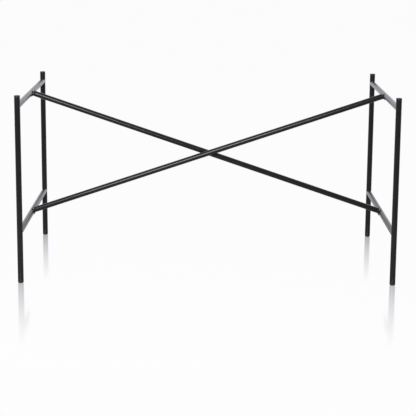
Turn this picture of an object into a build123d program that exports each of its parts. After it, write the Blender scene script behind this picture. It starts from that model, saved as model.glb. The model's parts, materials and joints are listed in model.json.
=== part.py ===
from build123d import *
import math
import os

# Table underframe of round steel tube: two welded side frames, held apart by two crossing diagonals.
# Millimetres, +Z up, +X along the table, +Y to the rear. The origin is on the floor below the frame's middle.

# The whole frame
frame_height = 720.0  # floor to the flat tops of the leg caps
leg_spacing_length = 1418.0  # between leg axes along X
leg_spacing_depth = 758.0  # between leg axes along Y
upper_rail_drop = 40.5  # from the top of the caps down to the upper rails' axis
lower_rail_height = 199.0  # from the floor up to the lower rails' axis

# One tube stock serves for legs, rails and diagonals
tube_diameter = 22.0
tube_wall = 2.0
tube_end_chamfer = 0.4  # on the outer edges of the legs' sawn ends
weld_gap = 0.05  # between a coped tube end and the round face that it is welded to
crossing_gap = 0.3  # between the two diagonals where they pass each other

# Half-shell saddles, welded to the diagonals' ends and screwed to the rails
saddle_wall = 3.0
saddle_length = 75.0  # along the rail
saddle_wrap = 75.0  # degrees that the shell reaches round the rail, each side of the diagonal
saddle_corner_radius = 12.0
saddle_clearance = 0.05  # between the shell and the rail

# Button-head screws with hexagon sockets
screw_spacing = 50.0  # between the two screws of a saddle, along the rail
screw_diameter = 6.0
screw_length = 16.0  # under the head
screw_head_diameter = 10.5
screw_head_height = 3.3
screw_head_rim = 0.8  # height of the straight edge below the dome
screw_head_land = 5.7  # diameter of the flat on top of the dome
screw_head_bulge = 0.4  # how far the dome swells beyond a plain cone
screw_socket_width = 4.0  # across the flats
screw_socket_depth = 2.0
screw_tip_chamfer = 0.8
screw_hole_clearance = 0.3  # round the shank, in the saddle
screw_seat_clearance = 0.4  # round the head, in its flat seat
screw_seat_margin = 0.1  # the seat goes this much below the lowest edge of the round shell

# Threaded inserts, set flush in the rails
insert_diameter = 9.0
insert_length = 13.0
insert_bulge_diameter = 12.0  # the ring pressed out behind the tube wall
insert_bulge_height = 2.5
insert_clearance = 0.05
thread_clearance = 0.05  # between the screw's shank and the insert, whose thread is left plain

# Plastic caps on the legs' tops, and glides under their feet, both with finned plugs in the tube
cap_thickness = 5.0
cap_edge_radius = 1.0
foot_height = 9.0
foot_edge_radius = 4.5
plug_length = 16.0
plug_wall = 1.6
plug_fin_depth = 0.9
plug_fin_height = 2.4
plug_fin_count = 3
plug_clearance = 0.05  # between the fins and the tube's bore

# A round edge takes at most this share of the wall that it is on
fillet_limit = 0.9

# Sizes that follow from those above
tube_radius = tube_diameter / 2
bore_radius = tube_radius - tube_wall
upper_rail_height = frame_height - upper_rail_drop
diagonal_offset = (tube_diameter + crossing_gap) / 2
saddle_bore_radius = tube_radius + saddle_clearance
saddle_radius = saddle_bore_radius + saddle_wall
seat_radius = screw_head_diameter / 2 + screw_seat_clearance
seat_level = math.sqrt(saddle_radius**2 - seat_radius**2) - screw_seat_margin
insert_hole_radius = insert_diameter / 2 + insert_clearance
bulge_level = math.sqrt(bore_radius**2 - (insert_bulge_diameter / 2) ** 2) - insert_clearance

sides = {"left": -leg_spacing_length / 2, "right": leg_spacing_length / 2}
ends = {"front": -leg_spacing_depth / 2, "rear": leg_spacing_depth / 2}
levels = {"upper": upper_rail_height, "lower": lower_rail_height}
upward = (Align.CENTER, Align.CENTER, Align.MIN)
downward = (Align.CENTER, Align.CENTER, Align.MAX)
along_x = Rotation(0, 90, 0)
along_y = Rotation(90, 0, 0)


# Tubes and their ends


def tube(length):
    """A length of the tube stock along Z, standing on the XY plane."""
    return Cylinder(tube_radius, length, align=upward) - Cylinder(bore_radius, length, align=upward)


def leg():
    """A leg between the top of its foot and the underside of its cap, with its outer end edges broken."""
    bar = tube(frame_height - foot_height - cap_thickness)
    outer_edges = bar.edges().filter_by(GeomType.CIRCLE).group_by(SortBy.RADIUS)[-1]
    return Pos(0, 0, foot_height) * chamfer(outer_edges, tube_end_chamfer)


def finned_plug():
    """The hollow plug below a cap: conical fins lead in and grip the tube's bore."""
    fin_radius = bore_radius - plug_clearance
    core_radius = fin_radius - plug_fin_depth
    plug = Cylinder(core_radius, plug_length, align=downward)
    pitch = plug_length / plug_fin_count
    for fin in range(plug_fin_count):
        plug += Pos(0, 0, -pitch * (fin + 0.5)) * Cone(core_radius, fin_radius, plug_fin_height)
    return plug - Cylinder(core_radius - plug_wall, plug_length, align=downward)


def cap():
    """A flat cap, its underside on the XY plane."""
    head = Cylinder(tube_radius, cap_thickness, align=upward)
    head = fillet(head.edges().sort_by(Axis.Z)[-1], min(cap_edge_radius, fillet_limit * cap_thickness))
    return head + finned_plug()


def foot():
    """A glide with a round edge and a flat underside on the XY plane."""
    head = Cylinder(tube_radius, foot_height, align=upward)
    round_edge = min(foot_edge_radius, fillet_limit * foot_height, fillet_limit * tube_radius)
    head = fillet(head.edges().sort_by(Axis.Z)[0], round_edge)
    return head + Pos(0, 0, foot_height) * Rotation(180, 0, 0) * finned_plug()


# Where a diagonal meets a rail: Z along the diagonal, away from the rail, and X along the rail


def joint_frame(side, level, y):
    """The place where a diagonal's axis leaves the axis of the rail at this side and level."""
    here = Vector(sides[side], y, levels[level])
    away_side = "right" if side == "left" else "left"
    away_level = "lower" if level == "upper" else "upper"
    away = Vector(sides[away_side], y, levels[away_level])
    return Plane(origin=here, x_dir=(0, 1, 0), z_dir=away - here)


def screw_places():
    """The two screws of a saddle, one each side of the diagonal."""
    return [Pos(-screw_spacing / 2, 0, 0), Pos(screw_spacing / 2, 0, 0)]


def saddle():
    """A half shell that hugs the rail, with round corners, two screw holes and a flat seat round each."""
    wall = Plane.XZ * Pos(saddle_bore_radius + saddle_wall / 2, 0) * Rectangle(saddle_wall, 2 * saddle_length)
    shell = along_x * Rotation(0, 0, 180 - saddle_wrap) * revolve(wall, Axis.Z, 2 * saddle_wrap)
    width = 2 * (saddle_radius + saddle_clearance)
    outline = RectangleRounded(saddle_length, width, min(saddle_corner_radius, fillet_limit * width / 2))
    shell &= extrude(outline, saddle_radius, both=True)
    for place in screw_places():
        shell -= place * Cylinder(screw_diameter / 2 + screw_hole_clearance, saddle_radius, align=upward)
        shell -= place * Pos(0, 0, seat_level) * Cylinder(seat_radius, saddle_radius, align=upward)
    return shell


def screw():
    """A button-head screw on its seat, pointing at the rail's axis."""
    radius = screw_head_diameter / 2
    land = screw_head_land / 2
    rim = (radius, screw_head_rim)
    crown = (land, screw_head_height)
    dome = SagittaArc(rim, crown, screw_head_bulge)
    outline = Polyline(crown, (0, screw_head_height), (0, 0), (radius, 0), rim)
    head = revolve(Plane.XZ * make_face([dome, outline]), Axis.Z)
    socket = RegularPolygon(screw_socket_width / 2, 6, major_radius=False)
    head -= Pos(0, 0, screw_head_height - screw_socket_depth) * extrude(socket, screw_socket_depth)
    shank = Cylinder(screw_diameter / 2, screw_length, align=downward)
    shank = chamfer(shank.edges().sort_by(Axis.Z)[0], screw_tip_chamfer)
    return Pos(0, 0, seat_level) * (head + shank)


def insert():
    """A threaded bush, flush with the rail's round face and clinched behind its wall."""
    body = Pos(0, 0, tube_radius) * Cylinder(insert_diameter / 2, insert_length, align=downward)
    body &= along_x * Cylinder(tube_radius, 2 * insert_diameter)
    bulge = Cylinder(insert_bulge_diameter / 2, insert_bulge_height, align=downward)
    body += Pos(0, 0, bulge_level) * bulge
    thread_bore = Cylinder(screw_diameter / 2 + thread_clearance, 4 * tube_radius)
    return body - thread_bore


def rail(level, joint):
    """A rail, coped round the legs at both ends and drilled for the inserts of the diagonal's saddle."""
    bar = along_y * (Cylinder(tube_radius, leg_spacing_depth) - Cylinder(bore_radius, leg_spacing_depth))
    cope = Cylinder(tube_radius + weld_gap, 4 * tube_radius)
    for y in ends.values():
        bar -= Pos(0, y, 0) * cope
    bar = Pos(joint.origin.X, 0, levels[level]) * bar
    for place in screw_places():
        bar -= joint * place * Cylinder(insert_hole_radius, 2 * tube_radius, align=upward)
    return bar


def diagonal(start, finish):
    """A diagonal tube, coped at both ends to fit the round outside of its saddles."""
    bar = start * tube((finish.origin - start.origin).length)
    for joint in (start, finish):
        bar -= joint * along_x * Cylinder(saddle_radius + weld_gap, saddle_length)
    return bar


# The pieces in their places

nodes = {}

for side, x in sides.items():
    for end, y in ends.items():
        nodes[f"{side}_{end}_leg"] = Pos(x, y, 0) * leg()
        nodes[f"{side}_{end}_leg_cap"] = Pos(x, y, frame_height - cap_thickness) * cap()
        nodes[f"{side}_{end}_foot"] = Pos(x, y, 0) * foot()

# Each diagonal by its Y, with the side of its lower and its upper joint
diagonals = {
    "front_diagonal": (-diagonal_offset, {"lower": "left", "upper": "right"}),
    "rear_diagonal": (diagonal_offset, {"lower": "right", "upper": "left"}),
}
screws = []
inserts = []
for name, (y, joint_sides) in diagonals.items():
    joints = {level: joint_frame(side, level, y) for level, side in joint_sides.items()}
    nodes[name] = diagonal(joints["lower"], joints["upper"])
    for level, joint in joints.items():
        nodes[f"{name}_{level}_saddle"] = joint * saddle()
        nodes[f"{joint_sides[level]}_{level}_rail"] = rail(level, joint)
        screws += [joint * place * screw() for place in screw_places()]
        inserts += [joint * place * insert() for place in screw_places()]

nodes["saddle_screws"] = Compound([solid for piece in screws for solid in piece.solids()])
nodes["threaded_inserts"] = Compound([solid for piece in inserts for solid in piece.solids()])

os.makedirs("parts", exist_ok=True)
for name, piece in nodes.items():
    export_step(piece, f"parts/{name}.step")
    print(name, len(piece.solids()), "solids", round(piece.volume), "mm3")
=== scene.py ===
# %% [markdown]
# # A table underframe of black steel tube
# Two welded side frames, each with two legs and two rails, are held apart by two diagonals that cross
# in the middle. Four plastic caps carry the table top, and four glides stand on the floor. The packed
# CAD model comes in first: it fixes every place and size, and this lesson dresses it. Metres are used
# throughout, with +Z up.

# %% Load the frame
import json
import math
import bmesh
import bpy
from mathutils import Matrix, Vector


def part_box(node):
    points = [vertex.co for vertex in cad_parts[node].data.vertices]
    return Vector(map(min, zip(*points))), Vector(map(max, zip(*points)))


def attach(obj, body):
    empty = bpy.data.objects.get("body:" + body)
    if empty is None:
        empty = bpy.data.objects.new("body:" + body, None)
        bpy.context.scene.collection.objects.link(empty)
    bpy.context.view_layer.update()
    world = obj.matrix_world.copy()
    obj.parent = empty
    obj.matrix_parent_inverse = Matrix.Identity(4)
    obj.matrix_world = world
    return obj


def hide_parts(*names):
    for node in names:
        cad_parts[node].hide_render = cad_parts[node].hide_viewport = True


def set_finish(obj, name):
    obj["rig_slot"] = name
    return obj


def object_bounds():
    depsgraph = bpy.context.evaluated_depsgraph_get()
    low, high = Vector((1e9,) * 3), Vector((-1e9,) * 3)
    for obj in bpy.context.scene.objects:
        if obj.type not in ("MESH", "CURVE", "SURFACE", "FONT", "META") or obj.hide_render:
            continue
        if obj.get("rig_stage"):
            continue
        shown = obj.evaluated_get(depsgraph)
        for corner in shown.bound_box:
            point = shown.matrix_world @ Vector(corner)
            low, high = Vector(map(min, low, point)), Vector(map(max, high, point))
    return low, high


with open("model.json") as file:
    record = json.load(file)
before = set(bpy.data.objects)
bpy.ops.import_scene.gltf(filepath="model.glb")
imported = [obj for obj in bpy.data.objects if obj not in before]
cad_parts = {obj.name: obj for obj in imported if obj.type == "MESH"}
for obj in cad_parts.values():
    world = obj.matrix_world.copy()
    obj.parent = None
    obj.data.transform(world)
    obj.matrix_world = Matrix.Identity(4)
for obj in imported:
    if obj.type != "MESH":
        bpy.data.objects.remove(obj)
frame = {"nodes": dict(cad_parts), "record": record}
cad_low, cad_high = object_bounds()
cad_size = [round(1000 * side) for side in cad_high - cad_low]
print("CAD box in mm:", cad_size, "with", len(frame["nodes"]), "nodes")

# %% [markdown]
# ## Where things are
# A dressed piece has to sit exactly where its CAD solid is. The places could be typed in again, but
# then the two would part as soon as the CAD changed. Reading them from the boxes of the CAD nodes keeps
# them together: a box's middle is a tube's axis, and half of its width is the tube's radius.

# %% Places from the CAD boxes
sides = ("left", "right")
ends = ("front", "rear")
levels = ("upper", "lower")


def middle(node):
    """The middle of a CAD node's box."""
    low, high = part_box(node)
    return (low + high) / 2


leg_low, leg_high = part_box("left_front_leg")
tube_radius = (leg_high.x - leg_low.x) / 2
tube_wall = 0.002
rail_middle = {(side, level): middle(f"{side}_{level}_rail") for side in sides for level in levels}
print("tube diameter in mm:", round(2000 * tube_radius, 2))
print("legs in mm: from", round(1000 * leg_low.z, 1), "to", round(1000 * leg_high.z, 1))

# %% [markdown]
# ## The camera
# The picture is taken from the front at chest height, with a long lens. The place and the aim come from
# matching the eight leg ends. The picture keeps the legs upright, as a lens that slides down does. Only
# a small part of that shift is used here, because it stays in force when the camera goes round the
# object.

# %% Camera
camera_place = Vector((-0.0170, -5.0396, 1.3635))
camera_pitch, camera_yaw, camera_roll = (math.radians(angle) for angle in (-11.006, 0.227, 0.444))
camera = bpy.data.objects.new("camera", bpy.data.cameras.new("camera"))
camera.data.sensor_width = 36.0
camera.data.lens = 109.59
camera.data.shift_y = -0.10
upright = Matrix.Rotation(math.radians(90), 4, "X")
aim = Matrix.Rotation(-camera_yaw, 4, "Z") @ upright @ Matrix.Rotation(camera_pitch, 4, "X")
camera.matrix_world = Matrix.Translation(camera_place) @ aim @ Matrix.Rotation(camera_roll, 4, "Z")
bpy.context.scene.collection.objects.link(camera)
bpy.context.scene.camera = camera
bpy.context.scene.view_settings.view_transform = "Standard"
print("camera at", [round(c, 3) for c in camera.matrix_world.translation])

# %% [markdown]
# ## From a bmesh to a piece
# Every piece ends in the same way. Its doubles are merged and its normals turned outwards, it becomes a
# mesh with smooth shading that breaks at sharp edges, it stands for its CAD nodes, and it rides on the
# frame's only body.

# %% Finish a piece
pieces = {}
same_place = 1e-6
sharp_angle = math.radians(20)


def finish_piece(name, bm, slot, *nodes):
    """Makes an object from a bmesh, and lets it stand for the CAD nodes that are named."""
    bmesh.ops.remove_doubles(bm, verts=bm.verts, dist=same_place)
    bmesh.ops.recalc_face_normals(bm, faces=bm.faces)
    open_edges = sum(not edge.is_manifold for edge in bm.edges)
    mesh = bpy.data.meshes.new(name)
    bm.to_mesh(mesh)
    bm.free()
    mesh.shade_smooth()
    mesh.set_sharp_from_angle(angle=sharp_angle)
    piece = bpy.data.objects.new(name, mesh)
    bpy.context.scene.collection.objects.link(piece)
    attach(piece, "root")
    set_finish(piece, slot)
    if nodes:
        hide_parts(*nodes)
    pieces[name] = piece
    print(name, len(mesh.polygons), "faces,", open_edges, "open edges")


# %% [markdown]
# ## Tube stock
# Legs, rails and diagonals are cut from one round tube. A cylinder would show a solid bar where a tube
# is open, so two circles are bridged into a ring and the ring is drawn out. The tube stands on the
# origin, along Z.

# %% Draw out a tube
tube_segments = 96


def tube_stock(length):
    """A length of tube along Z, with its outer and its inner wall."""
    bm = bmesh.new()
    bmesh.ops.create_circle(bm, segments=tube_segments, radius=tube_radius)
    bmesh.ops.create_circle(bm, segments=tube_segments, radius=tube_radius - tube_wall)
    ring = bmesh.ops.bridge_loops(bm, edges=bm.edges[:])
    drawn = bmesh.ops.extrude_face_region(bm, geom=ring["faces"], use_keep_orig=True)
    far_end = [part for part in drawn["geom"] if isinstance(part, bmesh.types.BMVert)]
    bmesh.ops.translate(bm, verts=far_end, vec=(0, 0, length))
    return bm


# %% [markdown]
# ## Legs
# A leg runs from its glide to its cap. The tube is sawn square and deburred, so the outer edges get a
# small bevel, which shows as a fine line where the plastic begins.

# %% Legs
deburr = 0.0004


def leg_tube(length):
    """A tube whose two outer end edges are broken."""
    bm = tube_stock(length)
    rims = []
    for edge in bm.edges:
        first, second = (vert.co for vert in edge.verts)
        if first.z == second.z and min(first.xy.length, second.xy.length) > tube_radius - tube_wall / 2:
            rims.append(edge)
    bmesh.ops.bevel(bm, geom=rims, offset=deburr, segments=2, profile=0.5, affect="EDGES", material=-1)
    return bm


for side in sides:
    for end in ends:
        node = f"{side}_{end}_leg"
        low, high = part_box(node)
        bm = leg_tube(high.z - low.z)
        bmesh.ops.translate(bm, verts=bm.verts, vec=(middle(node).x, middle(node).y, low.z))
        finish_piece(f"{node}_tube", bm, "powder_coat", node)

# %% [markdown]
# ## Coped ends
# A round tube meets another round tube along a curved notch, the cope. A Boolean could cut it, but
# would leave thin stray faces on the seam. A tube's ends are rings of vertices, so each vertex slides
# along the tube until it lies on the bar that the tube meets: that is the notch itself, and the faces
# stay clean.

# %% Rails
weld_gap = 0.00005


def cope(bm, length, bar_radius, square):
    """Notches both ends for bars of this radius at 0 and length; square is the axis across both."""
    for vert in bm.verts:
        notch = math.sqrt(bar_radius**2 - vert.co[square] ** 2)
        vert.co.z = notch if vert.co.z < length / 2 else length - notch


rail_span = middle("left_rear_leg").y - middle("left_front_leg").y
along_rail = Matrix.Rotation(math.radians(-90), 4, "X")
for (side, level), centre in rail_middle.items():
    bm = tube_stock(rail_span)
    cope(bm, rail_span, tube_radius + weld_gap, square=0)
    start = Vector((centre.x, middle("left_front_leg").y, centre.z))
    bm.transform(Matrix.Translation(start) @ along_rail)
    finish_piece(f"{side}_{level}_rail_tube", bm, "powder_coat", f"{side}_{level}_rail")

# %% [markdown]
# ## Diagonals
# Each diagonal climbs from a lower rail on one side to the upper rail on the other, and ends on the
# round back of a saddle. A matrix per joint carries a shape from its own axes into place: Z points away
# from the rail along the diagonal, and X lies along the rail. The saddles and screws use the same
# matrices.

# %% Diagonals
saddle_wall = 0.003
saddle_radius = tube_radius + saddle_wall + weld_gap
crossing = {
    "front_diagonal": {"lower": "left", "upper": "right"},
    "rear_diagonal": {"lower": "right", "upper": "left"},
}
joints = {}
for diagonal, joint_sides in crossing.items():
    places = {level: rail_middle[side, level].copy() for level, side in joint_sides.items()}
    for place in places.values():
        place.y = middle(diagonal).y
    for level, far_level in (("lower", "upper"), ("upper", "lower")):
        out = (places[far_level] - places[level]).normalized()
        along = Vector((0, 1, 0))
        turn = Matrix((along, out.cross(along), out)).transposed().to_4x4()
        joints[diagonal, level] = Matrix.Translation(places[level]) @ turn
    reach = (places["upper"] - places["lower"]).length
    bm = tube_stock(reach)
    cope(bm, reach, saddle_radius + weld_gap, square=1)
    bm.transform(joints[diagonal, "lower"])
    finish_piece(f"{diagonal}_tube", bm, "powder_coat", diagonal)

# %% [markdown]
# ## Caps and glides
# Both are turned shapes of black plastic with a finned plug that grips inside the tube. A profile of a
# few points is spun round the axis. Its visible edge is bevelled afterwards, because a bevel keeps the
# round even, and points of an arc would have to be worked out by hand. The shallow dimple is where the
# plastic entered the mould.

# %% Spin a profile
def spin_profile(profile, steps):
    """Spins points (radius, height) a full turn round Z."""
    bm = bmesh.new()
    corners = [bm.verts.new((radius, 0, height)) for radius, height in profile]
    lines = [bm.edges.new(pair) for pair in zip(corners, corners[1:])]
    bmesh.ops.spin(bm, geom=corners + lines, cent=(0, 0, 0), axis=(0, 0, 1), angle=math.tau, steps=steps,
                   use_merge=True)
    bmesh.ops.remove_doubles(bm, verts=bm.verts, dist=same_place)
    return bm


def round_edge(bm, radius, height, size, segments):
    """Bevels the circle that runs at this radius and height."""
    on_circle = {vert for vert in bm.verts
                 if abs(vert.co.z - height) < same_place and abs(vert.co.xy.length - radius) < same_place}
    circle = [edge for edge in bm.edges if on_circle.issuperset(edge.verts)]
    bmesh.ops.bevel(bm, geom=circle, offset=size, segments=segments, profile=0.5, affect="EDGES",
                    material=-1)


# %% Caps and glides
plug_length, plug_wall, plug_clearance = 0.016, 0.0016, 0.00005
fin_count, fin_height, fin_depth = 3, 0.0024, 0.0009
plug_fin = tube_radius - tube_wall - plug_clearance
plug_core = plug_fin - fin_depth
plug_bore = plug_core - plug_wall
dimple_radius, dimple_depth = 0.0022, 0.0003
cap_edge, glide_edge = 0.001, 0.0045


def plugged_head(thickness, edge_size):
    """A round head of this thickness on the XY plane, with its finned plug below."""
    dimple_floor = thickness - dimple_depth
    profile = [(0, dimple_floor), (dimple_radius, dimple_floor), (dimple_radius + dimple_depth, thickness),
               (tube_radius, thickness), (tube_radius, 0), (plug_core, 0)]
    for fin in range(fin_count):
        fin_top = -plug_length / fin_count * (fin + 0.5) + fin_height / 2
        profile += [(plug_core, fin_top), (plug_fin, fin_top), (plug_core, fin_top - fin_height)]
    profile += [(plug_core, -plug_length), (plug_bore, -plug_length), (plug_bore, 0), (0, 0)]
    bm = spin_profile(profile, tube_segments)
    round_edge(bm, tube_radius, thickness, edge_size, segments=6)
    return bm


for side in sides:
    for end in ends:
        axis = middle(f"{side}_{end}_leg")
        node = f"{side}_{end}_leg_cap"
        bm = plugged_head(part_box(node)[1].z - leg_high.z, cap_edge)
        bmesh.ops.translate(bm, verts=bm.verts, vec=(axis.x, axis.y, leg_high.z))
        finish_piece(f"{node}_moulding", bm, "black_plastic", node)
        node = f"{side}_{end}_foot"
        bm = plugged_head(leg_low.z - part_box(node)[0].z, glide_edge)
        bmesh.ops.rotate(bm, verts=bm.verts, cent=(0, 0, 0), matrix=Matrix.Rotation(math.pi, 3, "X"))
        bmesh.ops.translate(bm, verts=bm.verts, vec=(axis.x, axis.y, leg_low.z))
        finish_piece(f"{node}_moulding", bm, "black_plastic", node)

# %% [markdown]
# ## Saddles
# A saddle is a half shell of steel that hugs the rail, welded to the diagonal and held by two screws.
# It starts as one flat face with round corners, the blank that a press would take. Cuts along it let it
# bend, its vertices rise onto the round, and solidify gives it its wall. The flat seats for the screw
# heads are milled by a Boolean, because a flat cut into a round has no edge loop of its own to start
# from.

# %% Bend the blank
saddle_length, saddle_corner = 0.075, 0.012
saddle_wrap = math.radians(75)
saddle_bends = 40


def saddle_shell():
    """The bent blank, before its seats are cut."""
    width = 2 * saddle_radius * math.sin(saddle_wrap)
    bm = bmesh.new()
    bmesh.ops.create_grid(bm, x_segments=1, y_segments=1, size=0.5)
    bmesh.ops.scale(bm, vec=(saddle_length, width, 1), verts=bm.verts)
    bmesh.ops.bevel(bm, geom=bm.verts[:], offset=saddle_corner, segments=10, profile=0.5, affect="VERTICES",
                    material=-1)
    for bend in range(1, saddle_bends):
        angle = saddle_wrap * (2 * bend / saddle_bends - 1)
        bmesh.ops.bisect_plane(bm, geom=bm.verts[:] + bm.edges[:] + bm.faces[:], dist=1e-7,
                               plane_co=(0, saddle_radius * math.sin(angle), 0), plane_no=(0, 1, 0))
    for vert in bm.verts:
        vert.co.z = math.sqrt(saddle_radius**2 - vert.co.y**2)
    bmesh.ops.recalc_face_normals(bm, faces=bm.faces)
    if sum(face.normal.z for face in bm.faces) < 0:
        bmesh.ops.reverse_faces(bm, faces=bm.faces)
    bmesh.ops.solidify(bm, geom=bm.faces[:], thickness=saddle_wall)
    return bm


# %% Cut seats and holes
screw_reach = 0.025
seat_radius, seat_margin = 0.00565, 0.0001
seat_level = math.sqrt(saddle_radius**2 - seat_radius**2) - seat_margin
seat_top = 0.03
hole_radius, hole_low, hole_top = 0.0033, 0.002, 0.025
cutter_segments = 48


def cut_away(bm, radius, low, high):
    """Subtracts a round cutter with these ends at both screws."""
    tool = bmesh.new()
    for reach in (-screw_reach, screw_reach):
        place = Matrix.Translation((reach, 0, (low + high) / 2))
        bmesh.ops.create_cone(tool, cap_ends=True, segments=cutter_segments, radius1=radius, radius2=radius,
                              depth=high - low, matrix=place)
    bodies = []
    for name, shape in (("blank", bm), ("tool", tool)):
        mesh = bpy.data.meshes.new(name)
        shape.to_mesh(mesh)
        shape.free()
        bodies.append(bpy.data.objects.new(name, mesh))
        bpy.context.scene.collection.objects.link(bodies[-1])
    cut = bodies[0].modifiers.new("cut", "BOOLEAN")
    cut.operation, cut.solver, cut.object = "DIFFERENCE", "EXACT", bodies[1]
    result = bmesh.new()
    result.from_object(bodies[0], bpy.context.evaluated_depsgraph_get())
    for body in bodies:
        bpy.data.objects.remove(body)
    return result


for (diagonal, level), joint in joints.items():
    bm = cut_away(saddle_shell(), seat_radius, seat_level, seat_top)
    bm = cut_away(bm, hole_radius, hole_low, hole_top)
    bm.transform(joint)
    finish_piece(f"{diagonal}_{level}_saddle_shell", bm, "powder_coat", f"{diagonal}_{level}_saddle")

# %% [markdown]
# ## Screws
# Two button-head screws hold each saddle. The dome and the shank are one spun profile, open at the flat
# on top. The hexagon socket can't be spun, and a Boolean would leave slivers where a flat meets a
# round. So the round opening's own edges are drawn inwards onto a hexagon, then down into the head, and
# a floor closes them.

# %% One screw
head_radius, head_height, head_rim, rim_round = 0.00525, 0.0033, 0.0008, 0.0002
land_radius, dome_bulge, dome_steps = 0.00285, 0.0004, 7
shank_radius, shank_length, tip_chamfer = 0.003, 0.016, 0.0008
socket_width, socket_depth = 0.004, 0.002
screw_segments = 48
one_sixth = math.radians(60)


def draw_ring(bm, ring):
    """Draws a band of faces out of a ring of edges, and returns the new ring's edges and vertices."""
    band = bmesh.ops.extrude_edge_only(bm, edges=ring)["geom"]
    edges = [part for part in band if isinstance(part, bmesh.types.BMEdge)]
    return edges, [part for part in band if isinstance(part, bmesh.types.BMVert)]


def button_screw():
    """A screw along Z with its head's underside on the XY plane."""
    crown, rim = Vector((land_radius, head_height)), Vector((head_radius, head_rim))
    outward = Vector((crown.y - rim.y, rim.x - crown.x)).normalized()
    profile = []
    for share in (step / dome_steps for step in range(dome_steps + 1)):
        profile.append(crown.lerp(rim, share) + outward * dome_bulge * 4 * share * (1 - share))
    profile += [(head_radius, 0), (shank_radius, 0), (shank_radius, tip_chamfer - shank_length),
                (shank_radius - tip_chamfer, -shank_length), (0, -shank_length)]
    bm = spin_profile(profile, screw_segments)
    round_edge(bm, head_radius, 0, rim_round, segments=2)
    mouth, mouth_verts = draw_ring(bm, [edge for edge in bm.edges if edge.is_boundary])
    for vert in mouth_verts:
        from_flat = math.atan2(vert.co.y, vert.co.x) % one_sixth - one_sixth / 2
        vert.co.xy *= socket_width / 2 / math.cos(from_flat) / land_radius
    base, base_verts = draw_ring(bm, mouth)
    bmesh.ops.translate(bm, verts=base_verts, vec=(0, 0, -socket_depth))
    socket_floor = bmesh.ops.edgeloop_fill(bm, edges=base)
    bmesh.ops.poke(bm, faces=socket_floor["faces"])
    return bm


# %% All screws
all_screws = bmesh.new()
for joint in joints.values():
    for reach in (-screw_reach, screw_reach):
        bm = button_screw()
        bm.transform(joint @ Matrix.Translation((reach, 0, seat_level)))
        single = bpy.data.meshes.new("single_screw")
        bm.to_mesh(single)
        bm.free()
        all_screws.from_mesh(single)
        bpy.data.meshes.remove(single)
finish_piece("saddle_screw_set", all_screws, "black_screw_steel", "saddle_screws")

# %% [markdown]
# ## Weld beads
# Every coped end is welded all round before the frame is coated. A bead is a torus that rides up and
# down with the cope. Where two equal tubes run into each other at their sides there is no corner to
# fill, so the bead thins out and sinks in there, and it swells and shrinks a little as a welder's hand
# does.

# %% Weld beads
bead_radius, bead_thinnest, bead_sink = 0.0014, 0.1, 0.25
bead_ripples, ripple_share = 34, 0.07
bead_sides, bead_steps = 12, 144


def weld_bead(bar_radius, square):
    """A bead round a tube's end, on a bar of this radius; square is the axis across bar and tube."""
    bm = bmesh.new()
    section = Matrix.Translation((tube_radius, 0, 0)) @ Matrix.Rotation(math.radians(90), 4, "X")
    bmesh.ops.create_circle(bm, segments=bead_sides, radius=bead_radius, matrix=section)
    bmesh.ops.spin(bm, geom=bm.verts[:] + bm.edges[:], cent=(0, 0, 0), axis=(0, 0, 1), angle=math.tau,
                   steps=bead_steps, use_merge=True)
    for vert in bm.verts:
        turn = math.atan2(vert.co.y, vert.co.x)
        sideways = tube_radius * (math.cos(turn), math.sin(turn))[square]
        corner = math.sqrt(max(0, 1 - (sideways / bar_radius) ** 2))
        full = bead_thinnest + (1 - bead_thinnest) * corner
        full *= 1 + ripple_share * math.sin(bead_ripples * turn)
        outward = (vert.co.xy.length - tube_radius) * full - (1 - corner) * bead_sink * bead_radius
        height = math.sqrt(bar_radius**2 - sideways**2) + vert.co.z * full
        radius = tube_radius + outward
        vert.co = (radius * math.cos(turn), radius * math.sin(turn), height)
    return bm


for (side, level), centre in rail_middle.items():
    for end, turned in (("front", 0), ("rear", math.pi)):
        bm = weld_bead(tube_radius + weld_gap, square=0)
        start = Vector((centre.x, middle(f"{side}_{end}_leg").y, centre.z))
        bm.transform(Matrix.Translation(start) @ Matrix.Rotation(turned, 4, "Z") @ along_rail)
        finish_piece(f"{side}_{level}_rail_{end}_weld", bm, "powder_coat")
for (diagonal, level), joint in joints.items():
    bm = weld_bead(saddle_radius + weld_gap, square=1)
    bm.transform(joint)
    finish_piece(f"{diagonal}_{level}_weld", bm, "powder_coat")

# %% [markdown]
# ## Writing materials as sums
# A finish is a small sum: a base plus a share of a pattern. Wiring Math nodes by hand hides that, so
# one class wraps a node's output. Adding, taking away and multiplying wires makes the Math nodes, and
# `add` makes any other node from its type, its settings and what goes into its sockets.

# %% Wires
class Wire:
    """An output socket in a node tree."""

    def __init__(self, tree, socket=None):
        self.tree = tree
        self.socket = socket

    def add(self, kind, settings=None, inputs=None, output=0):
        """Adds a node: its settings, then values or wires for its sockets; returns one output's wire."""
        node = self.tree.nodes.new(kind)
        for name, value in (settings or {}).items():
            if name == "stops":
                for element, (place, colour) in zip(node.color_ramp.elements, value):
                    element.position, element.color = place, colour
            else:
                setattr(node, name, value)
        for name, value in (inputs or {}).items():
            if isinstance(value, Wire):
                self.tree.links.new(value.socket, node.inputs[name])
            else:
                node.inputs[name].default_value = value
        return Wire(self.tree, node.outputs[output] if len(node.outputs) else None)

    def maths(self, operation, first, second):
        """A Math node on two values or wires."""
        return self.add("ShaderNodeMath", {"operation": operation}, {0: first, 1: second})

    def __add__(self, other):
        return self.maths("ADD", self, other)

    def __sub__(self, other):
        return self.maths("SUBTRACT", self, other)

    def __rsub__(self, other):
        return self.maths("SUBTRACT", other, self)

    def __mul__(self, other):
        return self.maths("MULTIPLY", self, other)

    __radd__ = __add__
    __rmul__ = __mul__


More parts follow.
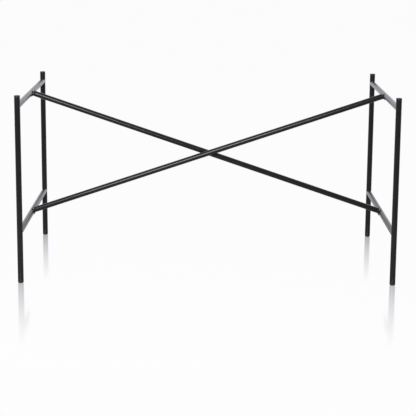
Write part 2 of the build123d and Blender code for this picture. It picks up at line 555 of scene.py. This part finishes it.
# %% Helpers for finishes
def new_finish(name):
    """An empty material, with a wire to build it from and the object's own coordinates."""
    material = bpy.data.materials.new(name)
    material.use_nodes = True
    material.node_tree.nodes.clear()
    start = Wire(material.node_tree)
    return material, start, start.add("ShaderNodeTexCoord", output="Object")


def noise(place, size, detail=2.0):
    """Soft noise whose grains are about this many metres across, as values round 0.5."""
    return place.add("ShaderNodeTexNoise", None, {"Vector": place, "Scale": 1 / size, "Detail": detail})


def blend(share, first, second):
    """A colour between two colours."""
    return share.add("ShaderNodeMix", {"data_type": "RGBA"}, {0: share, 6: first, 7: second}, output=2)


def grey(value, tint=(1, 1, 1)):
    """A grey of this level, tinted or plain."""
    return tuple(value * part for part in tint) + (1,)


# %% [markdown]
# ## Powder coat
# Black powder melts into a satin skin. It is never quite flat: the surface keeps a fine orange peel,
# about a millimetre from hill to hill, and it lies a little thicker in some places, which shifts its
# gloss. Noise at those two sizes drives the bump, the roughness and a slight change of black.

# %% Powder coat
powder_coat, start, place = new_finish("black_powder_coat")
peel = noise(place, size=0.0011)
thickness = noise(place, size=0.06, detail=3.0)
bump = start.add("ShaderNodeBump", None, {"Height": peel, "Strength": 0.12, "Distance": 0.0003})
coat = start.add("ShaderNodeBsdfPrincipled", None, {
    "Base Color": blend(thickness, grey(0.007), grey(0.012, (1, 1, 1.04))),
    "Roughness": 0.15 + 0.08 * thickness + 0.02 * peel,
    "IOR": 1.38,
    "Normal": bump,
})
start.add("ShaderNodeOutputMaterial", None, {"Surface": coat})
print("powder coat:", len(powder_coat.node_tree.nodes), "nodes")

# %% [markdown]
# ## Black plastic
# Caps and glides are moulded in a spark-eroded tool, which leaves a grain of tiny pits and a duller
# black than the coat. The glides are pushed about on the floor, so fine pale scuffs gather on their
# lowest millimetres only.

# %% Black plastic
scuff_height, scuff_limit = 0.003, 0.56
black_plastic, start, place = new_finish("black_moulded_plastic")
grain = noise(place, size=0.0004, detail=4.0)
patches = noise(place, size=0.012)
scratches = noise(place, size=0.0007, detail=5.0)
height = start.add("ShaderNodeSeparateXYZ", None, {"Vector": place}, output="Z")
near_floor = start.add("ShaderNodeMapRange", {"interpolation_type": "SMOOTHSTEP"},
                       {"Value": height, "From Min": scuff_height, "From Max": 0.0,
                        "To Min": 0.0, "To Max": 1.0})
scuffs = near_floor * start.maths("GREATER_THAN", scratches, scuff_limit)
bump = start.add("ShaderNodeBump", None, {"Height": grain, "Strength": 0.25, "Distance": 0.0001})
skin = start.add("ShaderNodeBsdfPrincipled", None, {
    "Base Color": blend(scuffs, blend(patches, grey(0.010), grey(0.016)), grey(0.07)),
    "Roughness": 0.42 + 0.16 * grain + 0.10 * scuffs,
    "IOR": 1.5,
    "Normal": bump,
})
start.add("ShaderNodeOutputMaterial", None, {"Surface": skin})
print("black plastic:", len(black_plastic.node_tree.nodes), "nodes")

# %% [markdown]
# ## Screw steel and insert steel
# The screws are steel with a black oxide, thin enough to let some metal through. The threaded inserts
# sit inside the rails, plated with zinc that clouds from bluish to yellowish. Both are metals, so
# colour and gloss do the work.

# %% Screw steel
screw_steel, start, place = new_finish("black_oxide_steel")
oxide = noise(place, size=0.0016, detail=4.0)
turning = noise(place, size=0.0003, detail=3.0)
bump = start.add("ShaderNodeBump", None, {"Height": turning, "Strength": 0.15, "Distance": 0.00005})
metal = start.add("ShaderNodeBsdfPrincipled", None, {
    "Base Color": blend(oxide, grey(0.020), grey(0.050, (1.0, 0.98, 0.95))),
    "Roughness": 0.36 + 0.20 * oxide,
    "Metallic": 1.0,
    "Normal": bump,
})
start.add("ShaderNodeOutputMaterial", None, {"Surface": metal})
print("screw steel:", len(screw_steel.node_tree.nodes), "nodes")

# %% Insert steel
bluish, yellowish = (0.58, 0.60, 0.63, 1), (0.66, 0.61, 0.50, 1)
insert_steel, start, place = new_finish("zinc_plated_steel")
clouds = noise(place, size=0.004, detail=4.0)
tint = start.add("ShaderNodeValToRGB", {"stops": [(0.35, bluish), (0.68, yellowish)]}, {"Fac": clouds})
metal = start.add("ShaderNodeBsdfPrincipled", None, {
    "Base Color": tint,
    "Roughness": 0.26 + 0.22 * clouds,
    "Metallic": 1.0,
})
start.add("ShaderNodeOutputMaterial", None, {"Surface": metal})
print("insert steel:", len(insert_steel.node_tree.nodes), "nodes")

# %% [markdown]
# ## Handing out the finishes
# Each new piece knows the slot of its finish. The inserts are the one CAD node that no piece stands
# for. All nodes get their finish from the record's slots, because that is less to keep in step than a
# list of those in view.

# %% Hand out the finishes
finishes = {"powder_coat": powder_coat, "black_plastic": black_plastic, "black_screw_steel": screw_steel,
            "plated_insert_steel": insert_steel}
for piece in pieces.values():
    piece.data.materials.append(finishes[piece["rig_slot"]])
for subpart in frame["record"]["subparts"]:
    node = frame["nodes"][subpart["node"]]
    node.data.materials.clear()
    node.data.materials.append(finishes[subpart["material_slot"]])
print(len(pieces), "pieces and", len(frame["nodes"]), "CAD nodes have their finish")

# %% [markdown]
# ## The floor
# The frame stands on a white sheet. It is one large plane that stops short of the camera: the dim room
# in front is what keeps black tubes black. It lies a hair below the glides, so that the two faces don't
# flicker into each other.

# %% Floor
floor_front, floor_back, floor_half_width, floor_drop = -1.3, 40.0, 40.0, 0.0002
bm = bmesh.new()
bmesh.ops.create_grid(bm, x_segments=1, y_segments=1, size=0.5)
bmesh.ops.scale(bm, vec=(2 * floor_half_width, floor_back - floor_front, 1), verts=bm.verts)
bmesh.ops.translate(bm, verts=bm.verts, vec=(0, (floor_front + floor_back) / 2, -floor_drop))
floor_mesh = bpy.data.meshes.new("floor")
bm.to_mesh(floor_mesh)
bm.free()
floor = bpy.data.objects.new("floor", floor_mesh)
bpy.context.scene.collection.objects.link(floor)
floor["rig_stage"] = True
print("floor in mm:", [round(1000 * side) for side in floor.dimensions])

# %% [markdown]
# ## White sheet
# In front of each foot the sheet is polished, so that it mirrors the leg at a flat angle, and the
# polish fades within a step. For the camera most of the sheet's white is its own, so that it stays
# even, and the rest takes light and shadow. The gloss of the rails sees that white too, but only behind
# the frame. Left and right share one sum, because the distance across is taken without its sign.

# %% Polish in front of the feet
gloss_reach, gloss_width, gloss_lean = 0.73, 0.036, 0.145
white_sheet, start, place = new_finish("white_sheet")
across = start.add("ShaderNodeSeparateXYZ", None, {"Vector": place}, output="X")
ahead = start.add("ShaderNodeSeparateXYZ", None, {"Vector": place}, output="Y")
foot_x = middle("right_rear_leg").x
polish = 0.0
for end in ends:
    to_viewer = middle(f"right_{end}_leg").y - ahead
    fade = start.add("ShaderNodeMapRange", None, {"Value": to_viewer, "From Min": 0.0,
                                                  "From Max": gloss_reach, "To Min": 1.0, "To Max": 0.0})
    fade = fade * start.maths("GREATER_THAN", to_viewer, -tube_radius)
    sideways = start.maths("ABSOLUTE", across, 0.0) + gloss_lean * to_viewer
    aside = start.maths("ABSOLUTE", sideways - foot_x, 0.0)
    strip = start.add("ShaderNodeMapRange", {"interpolation_type": "SMOOTHSTEP"},
                      {"Value": aside, "From Min": gloss_width / 2, "From Max": gloss_width,
                       "To Min": 1.0, "To Max": 0.0})
    polish = polish + fade * strip
print("polish within", gloss_reach, "m of a foot")

# %% White sheet
gloss_strength, gloss_falloff = 1.75, 4.0
white_share = 0.96
rear_start, rear_full = 0.4, 1.4
seen = start.add("ShaderNodeLightPath", output="Is Camera Ray")
mirrored = start.add("ShaderNodeLightPath", output="Is Glossy Ray")
rear = start.add("ShaderNodeMapRange", None, {"Value": ahead, "From Min": rear_start,
                                              "From Max": rear_full, "To Min": 0.0, "To Max": 1.0})
lit = start.add("ShaderNodeBsdfDiffuse", None, {"Color": grey(0.45)})
own_white = start.add("ShaderNodeEmission", None, {"Color": grey(1.0), "Strength": 1.0})
even = start.add("ShaderNodeMixShader", None,
                 {"Fac": white_share * (seen + mirrored * rear), 1: lit, 2: own_white})
mirror = start.add("ShaderNodeBsdfGlossy", None, {"Color": grey(1.0), "Roughness": 0.10})
flatness = start.add("ShaderNodeLayerWeight", None, {"Blend": 0.5}, output="Facing")
gloss = gloss_strength * start.maths("POWER", flatness, gloss_falloff)
sheet = start.add("ShaderNodeMixShader", None, {"Fac": gloss * polish, 1: even, 2: mirror})
start.add("ShaderNodeOutputMaterial", None, {"Surface": sheet})
floor.data.materials.append(white_sheet)
print("white sheet:", len(white_sheet.node_tree.nodes), "nodes")

# %% [markdown]
# ## Light
# A tall softbox stands to the left of the camera and above it, and its top leans to the left. Its
# mirror image runs along the diagonals, most on the one in front, and misses the upright legs. A soft
# lamp overhead lifts everything to a plain level without showing in the gloss.

# %% Softbox and fill
frame_middle = (cad_low + cad_high) / 2
softbox_lean = math.radians(35)


def aimed_lamp(name, kind, place, energy):
    """A lamp at this place that looks at the middle of the frame."""
    lamp = bpy.data.objects.new(name, bpy.data.lights.new(name, kind))
    lamp.data.energy = energy
    back = Vector(place) - frame_middle
    lamp.matrix_world = Matrix.Translation(place) @ back.to_track_quat("Z", "Y").to_matrix().to_4x4()
    lamp.visible_camera = False
    bpy.context.scene.collection.objects.link(lamp)
    return lamp


softbox = aimed_lamp("softbox", "AREA", place=(-0.98, -3.6, 2.1), energy=155)
softbox.data.shape = "RECTANGLE"
softbox.data.size, softbox.data.size_y = 1.9, 2.4
softbox.matrix_world @= Matrix.Rotation(softbox_lean, 4, "Z")
overhead = aimed_lamp("overhead", "SUN", place=(0, 0, 4), energy=0.5)
overhead.data.angle = math.radians(120)
overhead.visible_glossy = False
softbox_area = softbox.data.size * softbox.data.size_y
print("softbox radiance:", round(softbox.data.energy / (math.pi * softbox_area), 2))

# %% [markdown]
# ## World
# The world is white behind the frame, where the rails pick it up at a glancing angle, and dim in front.
# The camera sees the floor's plain white all round, so that no line shows where the floor ends.

# %% World
world = bpy.data.worlds.new("studio")
world.use_nodes = True
world.node_tree.nodes.clear()
bpy.context.scene.world = world
start = Wire(world.node_tree)
direction = start.add("ShaderNodeTexCoord", output="Generated")
depth = start.add("ShaderNodeSeparateXYZ", None, {"Vector": direction}, output="Y")
behind = start.add("ShaderNodeMapRange", {"interpolation_type": "SMOOTHSTEP"},
                   {"Value": depth, "From Min": -0.1, "From Max": 0.6, "To Min": 0.0, "To Max": 1.0})
seen = start.add("ShaderNodeLightPath", output="Is Camera Ray")
mirrored = start.add("ShaderNodeLightPath", output="Is Glossy Ray")
through = start.add("ShaderNodeLightPath", output="Is Transmission Ray")
cool_white, plain_white = grey(1.0, (0.985, 0.965, 1.06)), grey(0.985)
backdrop = start.add("ShaderNodeBackground", None,
                     {"Color": blend(seen, cool_white, plain_white), "Strength": 1.0})
room = start.add("ShaderNodeBackground", None,
                 {"Color": blend(behind, grey(0.30), grey(0.90)), "Strength": 1.0})
share = start.add("ShaderNodeMixShader", None,
                  {"Fac": seen + through + mirrored * behind, 1: room, 2: backdrop})
start.add("ShaderNodeOutputWorld", None, {"Surface": share})
print("world:", len(world.node_tree.nodes), "nodes")

# %% [markdown]
# ## Size
# Dressing the part must not change its size.

# %% Size
low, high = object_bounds()
print("visual box in mm:", [round(1000 * side, 1) for side in high - low])
